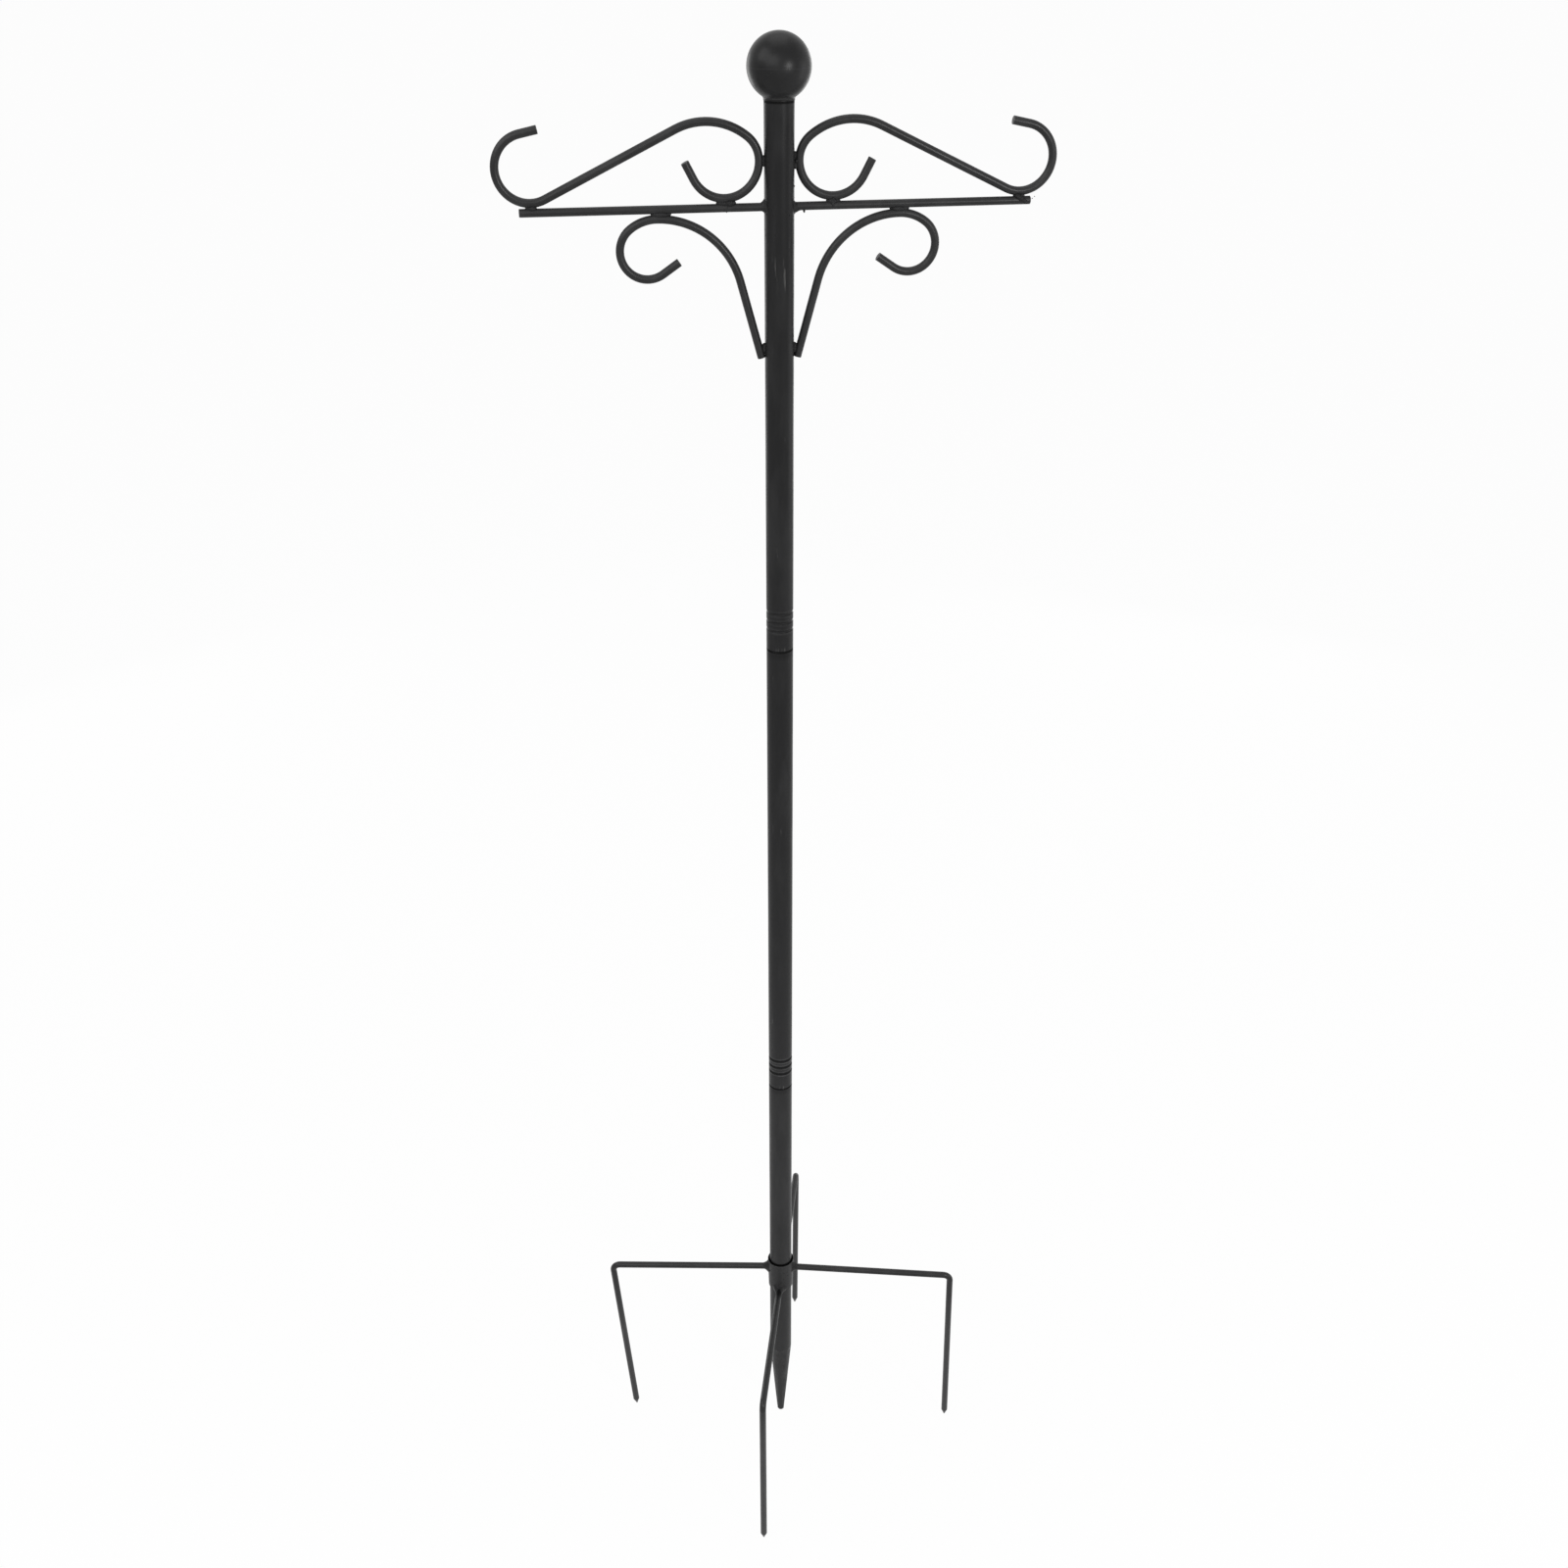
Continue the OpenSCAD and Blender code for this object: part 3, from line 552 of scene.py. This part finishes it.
def dress_cad_nodes(welds):
    """Gives every CAD node its material."""
    pole = powder_coat("pole_coat", roughness=0.34, peel=0.9, extra_scuffs=pole_scuffs,
                       shade_mask=pole_shade, pale_lips=pole_lips)
    rod = powder_coat("rod_coat", roughness=0.37, peel=1.6, scuffs=0.35, lit_tops=0.15,
                      specular=0.20)
    prong = powder_coat("bracket_coat", roughness=0.35, peel=1.4, scuffs=0.55,
                        shade_mask=low_roots, low_lift=PRONG_LOW_LIFT, specular=0.24)
    collar = powder_coat("collar_coat", roughness=0.36, peel=1.1, scuffs=0.6,
                         shade_mask=collar_inside_shade)
    sleeve = make_sleeve_steel()
    looks = {
        "finial_ball": make_ball_plastic(),
        "top_tube": pole, "middle_tube": pole, "bottom_tube": pole,
        "upper_coupling": sleeve, "lower_coupling": sleeve,
        "left_bar": rod, "right_bar": rod,
        "left_upper_scroll": rod, "right_upper_scroll": rod,
        "left_lower_scroll": rod, "right_lower_scroll": rod,
        "bracket_collar": collar,
        "left_prong": prong, "right_prong": prong,
        "front_prong": prong, "back_prong": prong,
        "left_arm_welds": welds, "right_arm_welds": welds, "bracket_welds": welds,
    }
    for name, material in looks.items():
        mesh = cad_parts[name].data
        mesh.materials.clear()
        mesh.materials.append(material)


# -------------------------------------------------------------- weld shapes

BEAD_SIDES = 20              # points round a bead
RIPPLE = 0.0017              # pitch of the ripples along a bead
RIPPLE_DEPTH = 0.16          # depth of a ripple over the bead's radius
RINGS_PER_RIPPLE = 6
LEAST_RINGS = 12             # along a bead
BEAD_BLUNT = 2.6             # the higher, the blunter are a bead's ends
BEAD_TIP = 0.08              # least radius at its ends over its radius
BEAD_LUMP = 0.10             # how much its radius varies
BEAD_LUMP_R = 0.002          # how far from its middle the lumps are read
BEAD_LUMP_SCALE = 700
UPRIGHT = 0.5                # upward part of a bead's direction: from here on it stands

FLARE_SIDES, FLARE_RINGS = 48, 12
FLARE_CURVE = 1.8            # the higher, the faster a flare falls to its rod
FLARE_LUMP, FLARE_LUMP_SCALE = 0.22, 2.1
FLARE_LUMP_RUN = 1.5         # how fast the lumps change along the rod
FLARE_LUMP_SHIFT = 90        # gives each flare lumps of its own
FLARE_RIPPLE, FLARE_RIPPLES = 0.06, 9        # depth, and half waves along a flare
FLARE_IN_TUBE = 0.0006       # how deep a flare's foot is sunk
FLARE_IN_ROD = 0.0003        # and its end

NUB_DETAIL = 3               # subdivisions
NUB_LUMP, NUB_LUMP_SCALE = 0.25, 900
NUB_LUMP_SHIFT = 300         # gives each nub lumps of its own


def skin_rings(bm, rings):
    """Joins rings of points into a closed tube."""
    sides = len(rings[0])
    for a, b in zip(rings, rings[1:]):
        for k in range(sides):
            j = (k + 1) % sides
            bm.faces.new((a[k], a[j], b[j], b[k]))
    bm.faces.new(list(reversed(rings[0])))
    bm.faces.new(rings[-1])


def bead_ring(bm, centre, across, out, radius):
    """An uneven ring of points. across and out are the ring's two directions."""
    ring = []
    for k in range(BEAD_SIDES):
        turn = 2 * math.pi * k / BEAD_SIDES
        x, y = math.cos(turn), math.sin(turn)
        spot = centre + across * x * BEAD_LUMP_R + out * y * BEAD_LUMP_R
        reach = radius * (1 + BEAD_LUMP * noise.noise(spot * BEAD_LUMP_SCALE))
        ring.append(bm.verts.new(centre + across * reach * x + out * reach * y))
    return ring


def straight_bead(bm, start, end, radius):
    """A bead from start to end, rippled, thin and rounded at both ends."""
    start, end = Vector(start), Vector(end)
    along = end - start
    length = along.length
    along.normalize()
    across = along.orthogonal().normalized()
    if abs(along.z) < UPRIGHT:
        across = Vector((0, 0, 1))
    out = along.cross(across)
    count = max(LEAST_RINGS, int(length / RIPPLE * RINGS_PER_RIPPLE))
    rings = []
    for i in range(count + 1):
        t = i / count
        taper = math.sqrt(max(0.0, 1 - abs(2 * t - 1) ** BEAD_BLUNT))
        ripple = abs(math.sin(math.pi * t * length / RIPPLE))
        reach = radius * max(BEAD_TIP, taper) * (1 - RIPPLE_DEPTH * (1 - ripple))
        rings.append(bead_ring(bm, start + along * length * t, across, out, reach))
    skin_rings(bm, rings)


def by_side(sizes, turn):
    """A size between the top's, the sides' and the bottom's, by direction."""
    top, side, bottom = sizes
    upright = top if math.sin(turn) > 0 else bottom
    return side * math.cos(turn) ** 2 + upright * math.sin(turn) ** 2


def root_flare(bm, place, tube_r, rod_r, heights, runs, droop=0.0):
    """The cone-like weld round the root of a rod that butts against a tube.
    place turns +X, away from the tube's axis, and the tube's +Z into the
    frame. heights, on the tube, and runs, along the rod, are each given at
    the top, the sides and the bottom."""
    rings = []
    for j in range(-1, FLARE_RINGS + 2):
        t = min(1.0, max(0.0, j / FLARE_RINGS))
        ring = []
        for k in range(FLARE_SIDES):
            turn = 2 * math.pi * k / FLARE_SIDES
            spot = Vector((math.cos(turn), math.sin(turn), t * FLARE_LUMP_RUN))
            lump = (1 + FLARE_LUMP * noise.noise(spot * FLARE_LUMP_SCALE
                                                 + place.translation * FLARE_LUMP_SHIFT)
                    + FLARE_RIPPLE * math.sin(t * math.pi * FLARE_RIPPLES))
            reach = rod_r + by_side(heights, turn) * (1 - t) ** FLARE_CURVE * lump
            if j > FLARE_RINGS:
                reach = rod_r - FLARE_IN_ROD
            y, z = reach * math.cos(turn), reach * math.sin(turn)
            off = by_side(runs, turn) * t - (FLARE_IN_TUBE if j < 0 else 0)
            x = math.sqrt(tube_r ** 2 - y ** 2) + off
            ring.append(bm.verts.new(place @ Vector((x, y, z - off * math.tan(droop)))))
        rings.append(ring)
    skin_rings(bm, rings)


def nub(bm, centre, radius, squash, pull=(0, 0, 0)):
    """A bead of spatter. squash scales its height, and pull draws it out."""
    made = bmesh.ops.create_icosphere(bm, subdivisions=NUB_DETAIL, radius=radius)
    shift = Vector(centre) * NUB_LUMP_SHIFT
    for v in made["verts"]:
        wobble = 1 + NUB_LUMP * noise.noise(v.co * NUB_LUMP_SCALE + shift)
        v.co = Vector((v.co.x, v.co.y, v.co.z * squash)) * wobble
        v.co += Vector(centre) + Vector(pull) * max(0.0, -v.co.z / radius) ** 2


def object_from(bm, name, material):
    """A smooth object with one material, made from bm."""
    bmesh.ops.recalc_face_normals(bm, faces=bm.faces)
    mesh = bpy.data.meshes.new(name)
    bm.to_mesh(mesh)
    bm.free()
    mesh.materials.append(material)
    mesh.polygons.foreach_set("use_smooth", [True] * len(mesh.polygons))
    obj = bpy.data.objects.new(name, mesh)
    bpy.context.scene.collection.objects.link(obj)
    return obj


# -------------------------------------------------------------- arms' welds

# The places that an arm's welds are measured from, on the right arm.
ABOVE_BAR = BAR_Z + BAR_R + WELD_GAP / 2
BELOW_BAR = BAR_Z - BAR_R - WELD_GAP / 2
BESIDE_TUBE = POLE_R + WELD_GAP / 2
ARM_PLACES = {
    "hook": (HOOK_X, 0, ABOVE_BAR),
    "loop": (LOOP_X, 0, ABOVE_BAR),
    "crown": (CROWN_X, 0, BELOW_BAR),
    "bar_top_at_hook": (HOOK_X, 0, BAR_Z + BAR_R),
    "bar_top_at_loop": (LOOP_X, 0, BAR_Z + BAR_R),
    "bar_root": (POLE_R, 0, BAR_Z - BAR_R),
    "loop_side": (BESIDE_TUBE, 0, LOOP_Z),
    "leg_foot": (BESIDE_TUBE, 0, FOOT_Z),
}

# The beads along the bar, for each arm: where each starts and ends, measured
# along the bar from the middle of the joint, away from the pole.
ARM_BEADS = {
    1: {"hook": (-0.0052, 0.0050), "loop": (-0.0062, 0.0060), "crown": (-0.0088, 0.0080)},
    -1: {"hook": (-0.0050, 0.0046), "loop": (-0.0094, 0.0074), "crown": (-0.0122, 0.0050)},
}
BAR_BEAD_R = 0.0030

# The second run in front of each: its share of the start and of the end, how
# far it stands forward at both, and its radius.
FRONT_START, FRONT_END = 0.8, 0.5
FRONT_START_Y, FRONT_END_Y = -0.0017, -0.0014
FRONT_BEAD_R = 0.0022

# The other beads of each arm: place, start and end from it, radius.
LEG_BEAD = ("leg_foot", (0, 0, -0.0010), (0, 0, 0.0082), 0.0029)
MORE_BEADS = {
    1: (
        # the lump that stands from the bar to the loop
        ("bar_top_at_loop", (-0.0008, -0.0026, -0.0046), (-0.0008, -0.0020, 0.0038), 0.0019),
        # the lump that runs from the hook down over the bar's end
        ("bar_top_at_hook", (-0.0036, -0.0024, 0.0018), (0.0070, -0.0028, -0.0058), 0.0025),
        ("loop_side", (0, 0, 0.0006), (0, 0, 0.0070), 0.0025),
        ("loop_side", (0, -0.0006, -0.0070), (0, 0, 0.0006), 0.0029),
        LEG_BEAD,
    ),
    -1: (
        ("loop", (-0.0078, -0.0018, 0.0004), (-0.0008, -0.0022, -0.0002), 0.0027),
        ("loop_side", (0, 0, -0.0046), (0, 0, 0.0044), 0.0028),
        LEG_BEAD,
    ),
}

# Lone nubs of weld on each arm: place, offset, radius, squash, pull.
ARM_NUBS = {
    1: (
        ("bar_top_at_loop", (-0.0006, -0.0040, 0.0022), 0.0011, 0.9, (0, 0, 0)),
        ("loop_side", (0.0008, -0.0026, -0.0004), 0.0014, 0.9, (0, 0, 0)),
        # the drip under the bar's root
        ("bar_root", (0.0080, -0.0012, 0), 0.0010, 1.0, (0.0004, 0, -0.0010)),
    ),
    -1: (),
}

# The flares round the bars' roots: (top, sides, bottom), heights then runs.
ARM_FLARES = {
    1: ((0.0013, 0.0022, 0.0032), (0.0016, 0.0030, 0.0060)),
    -1: ((0.0035, 0.0024, 0.0018), (0.0034, 0.0030, 0.0022)),
}

# Spatter: least and largest radius, squash, and how many beads of it.
SPATTER = (0.0003, 0.0008)
SPATTER_SQUASH = 0.8
POLE_SPATTER = 9
BAR_SPATTER = 7
POLE_SPATTER_TURN = (-0.5, 0.5)      # mean and spread round the pole
POLE_SPATTER_Z = (0, 0.012)          # from the bar's middle
BAR_SPATTER_X = (0, 0.009)           # from a joint
BAR_SPATTER_TURN = (math.pi * 1.1, math.pi * 1.9)
BAR_SPATTER_SIZE = 0.8


def arm_point(side, place, offset):
    """A point at an offset from a place on an arm, mirrored for the left arm."""
    x, y, z = ARM_PLACES[place]
    return side * (x + offset[0]), y + offset[1], z + offset[2]


def arm_beads(bm, side):
    """The beads and the lone nubs of weld on one arm."""
    for joint, (start, end) in ARM_BEADS[side].items():
        straight_bead(bm, arm_point(side, joint, (start, 0, 0)),
                      arm_point(side, joint, (end, 0, 0)), BAR_BEAD_R)
        straight_bead(bm, arm_point(side, joint, (start * FRONT_START, FRONT_START_Y, 0)),
                      arm_point(side, joint, (end * FRONT_END, FRONT_END_Y, 0)),
                      FRONT_BEAD_R)
    for place, start, end, radius in MORE_BEADS[side]:
        straight_bead(bm, arm_point(side, place, start), arm_point(side, place, end), radius)
    for place, offset, radius, squash, pull in ARM_NUBS[side]:
        nub(bm, arm_point(side, place, offset), radius, squash, pull)


def arm_spatter(bm, side, rng):
    """Spatter on the pole round the bar's root and along the bar."""
    for _ in range(POLE_SPATTER):
        turn = rng.gauss(*POLE_SPATTER_TURN)
        z = BAR_Z + rng.gauss(*POLE_SPATTER_Z)
        nub(bm, (side * POLE_R * math.cos(turn), POLE_R * math.sin(turn), z),
            rng.uniform(*SPATTER), SPATTER_SQUASH)
    for _ in range(BAR_SPATTER):
        x = rng.choice((LOOP_X, CROWN_X, HOOK_X)) + rng.gauss(*BAR_SPATTER_X)
        turn = rng.uniform(*BAR_SPATTER_TURN)
        nub(bm, (side * x, BAR_R * math.sin(turn), BAR_Z + BAR_R * math.cos(turn)),
            rng.uniform(*SPATTER) * BAR_SPATTER_SIZE, SPATTER_SQUASH)


def make_arm_welds(side, name, node_name, material, rng):
    """The welds of one arm. side is 1 for the right arm and -1 for the left."""
    bm = bmesh.new()
    arm_beads(bm, side)
    place = Matrix.Translation((0, 0, BAR_Z)) @ Matrix.Diagonal((side, 1, 1, 1))
    root_flare(bm, place, POLE_R, BAR_R, *ARM_FLARES[side])
    arm_spatter(bm, side, rng)
    obj = object_from(bm, name, material)
    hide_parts(node_name)
    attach(obj, "top_section")


# ---------------------------------------------------------- bracket's welds

# Flares as those of the bars: for the side prongs, by the turn from the right
# one, and one for both the front and the back prong.
SIDE_FLARES = {
    0.0: ((0.0050, 0.0032, 0.0026), (0.0068, 0.0045, 0.0052)),
    math.pi: ((0.0050, 0.0032, 0.0046), (0.0075, 0.0045, 0.0056)),
}
LOW_FLARE = ((0.0024, 0.0050, 0.0020), (0.0045, 0.0100, 0.0045))
COLLAR_SPATTER = 14
COLLAR_SPATTER_TURN = (-math.pi, 0)  # round the front half
COLLAR_SPATTER_Z = (0.001, 0.03)     # over the collar's foot
COLLAR_SPATTER_SQUASH = 0.9


def collar_spatter(bm, rng):
    """Spatter on the front of the collar."""
    for _ in range(COLLAR_SPATTER):
        around = rng.uniform(*COLLAR_SPATTER_TURN)
        z = COLLAR_FOOT_Z + rng.uniform(*COLLAR_SPATTER_Z)
        nub(bm, (collar_r(z) * math.cos(around), collar_r(z) * math.sin(around), z),
            rng.uniform(*SPATTER), COLLAR_SPATTER_SQUASH)


def make_bracket_welds(material, rng):
    """The flares round the roots of the four prongs, and spatter."""
    bm = bmesh.new()
    tube_r = collar_r(SIDE_ROOT_Z)
    side_level = SIDE_ROOT_Z - tube_r * math.tan(SIDE_DROOP)
    for half, sizes in SIDE_FLARES.items():
        turn = Matrix.Rotation(SIDE_TURN + half, 4, "Z")
        root_flare(bm, Matrix.Translation((0, 0, side_level)) @ turn, tube_r, PRONG_R,
                   *sizes, droop=SIDE_DROOP)
        turn = Matrix.Rotation(LOW_TURN + math.pi / 2 + half, 4, "Z")
        root_flare(bm, Matrix.Translation((0, 0, LOW_ROOT_Z)) @ turn, COLLAR_FOOT_R,
                   PRONG_R, *LOW_FLARE)
    collar_spatter(bm, rng)
    obj = object_from(bm, "bracket_weld_beads", material)
    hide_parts("bracket_welds")
    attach(obj, "ground_bracket")


# ---------------------------------------------------------- floor and light

FLOOR_SIDE = 120.0
FLOOR_CELLS = 8
FLOOR_COAT = (0.8, 0.8, 0.8, 1)      # how much light the floor throws back
FLOOR_ROUGHNESS = 0.9
FLOOR_SPECULAR = 0.1
FLOOR_WHITE = 0.97           # how far the seen floor is lifted to plain white
WORLD_LIGHT = 0.20           # strength of the world as a light
SEEN_LIGHT = 1.0             # strength of the white that is seen

# Soft lamps: name, place, the point it faces, width and height, watts, and
# whether reflections show it.
LAMPS = (
    ("key", (1.20, -2.40, 1.78), (0, 0, 1.1), (0.42, 0.42), 29.0, True),
    ("front_left", (-1.35, -2.20, 2.70), (0, 0, 2.1), (2.2, 1.7), 31.0, True),
    ("upper_left", (-2.00, -0.50, 2.90), (0, 0, 1.4), (1.5, 1.5), 18.0, True),
    ("overhead", (0.0, 0.3, 3.8), (0, 0, 1.0), (1.8, 1.8), 12.0, True),
    ("right_side", (2.4, -0.2, 1.0), (0, 0, 0.9), (1.1, 2.0), 10.5, True),
    ("back_right", (1.40, 2.30, 1.05), (0, 0, 1.0), (1.1, 1.7), 10.5, True),
    ("back_left", (-1.40, 2.30, 1.05), (0, 0, 1.0), (1.1, 1.7), 10.5, True),
    ("low_right", (1.5, -0.9, 0.45), (0, 0, 0.2), (0.8, 0.8), 7.0, False),
    ("low_left", (-1.4, -0.7, 0.40), (0, 0, 0.2), (0.8, 0.8), 6.0, False),
)


def seen_rays(n):
    """1 for the rays that show the background: camera, glossy, transmission."""
    rays = n.add("ShaderNodeLightPath").outputs
    seen = n.math("MAXIMUM", rays["Is Camera Ray"], rays["Is Glossy Ray"])
    return n.math("MAXIMUM", seen, rays["Is Transmission Ray"])


def make_world():
    """A low even light, and plain white where the world is seen."""
    world = bpy.data.worlds.new("studio")
    n = Nodes(world)
    light = n.tree.nodes["Background"]
    n.set(light, {"Color": WHITE, "Strength": WORLD_LIGHT})
    white = n.add("ShaderNodeBackground", {"Color": WHITE, "Strength": SEEN_LIGHT})
    mix = n.add("ShaderNodeMixShader",
                {0: seen_rays(n), 1: light.outputs[0], 2: white.outputs[0]})
    n.set(n.tree.nodes["World Output"], {"Surface": mix.outputs[0]})
    bpy.context.scene.world = world


def make_floor_white():
    """Matte white that keeps the object's shadow, lifted towards plain white."""
    material = bpy.data.materials.new("floor_white")
    n = Nodes(material)
    matte = n.tree.nodes["Principled BSDF"]
    n.set(matte, {"Base Color": FLOOR_COAT, "Roughness": FLOOR_ROUGHNESS,
                  "Specular IOR Level": FLOOR_SPECULAR})
    glow = n.add("ShaderNodeEmission", {"Color": WHITE, "Strength": SEEN_LIGHT})
    lift = n.math("MULTIPLY", seen_rays(n), FLOOR_WHITE)
    mix = n.add("ShaderNodeMixShader", {0: lift, 1: matte.outputs[0], 2: glow.outputs[0]})
    n.set(n.tree.nodes["Material Output"], {"Surface": mix.outputs[0]})
    return material


def make_floor():
    """A plain pale floor, with no edge in sight."""
    bm = bmesh.new()
    bmesh.ops.create_grid(bm, x_segments=FLOOR_CELLS, y_segments=FLOOR_CELLS,
                          size=FLOOR_SIDE / 2)
    mesh = bpy.data.meshes.new("floor")
    bm.to_mesh(mesh)
    bm.free()
    mesh.materials.append(make_floor_white())
    floor = bpy.data.objects.new("floor", mesh)
    bpy.context.scene.collection.objects.link(floor)


def make_lamps():
    for name, place, aim, (width, height), watts, shows in LAMPS:
        data = bpy.data.lights.new(name, "AREA")
        data.shape = "RECTANGLE"
        data.size, data.size_y = width, height
        data.energy = watts
        lamp = bpy.data.objects.new(name, data)
        lamp.location = place
        facing = Vector(aim) - Vector(place)
        lamp.rotation_euler = facing.to_track_quat("-Z", "Y").to_euler()
        lamp.visible_camera = False
        lamp.visible_glossy = shows
        bpy.context.scene.collection.objects.link(lamp)


# -------------------------------------------------------------------- build

SEED = 7


def main():
    make_camera()
    make_world()
    make_floor()
    make_lamps()
    rng = random.Random(SEED)
    welds = make_weld_coat()
    dress_cad_nodes(welds)
    make_arm_welds(1, "right_arm_weld_beads", "right_arm_welds", welds, rng)
    make_arm_welds(-1, "left_arm_weld_beads", "left_arm_welds", welds, rng)
    make_bracket_welds(welds, rng)
    bpy.context.scene.view_settings.view_transform = "Standard"


main()
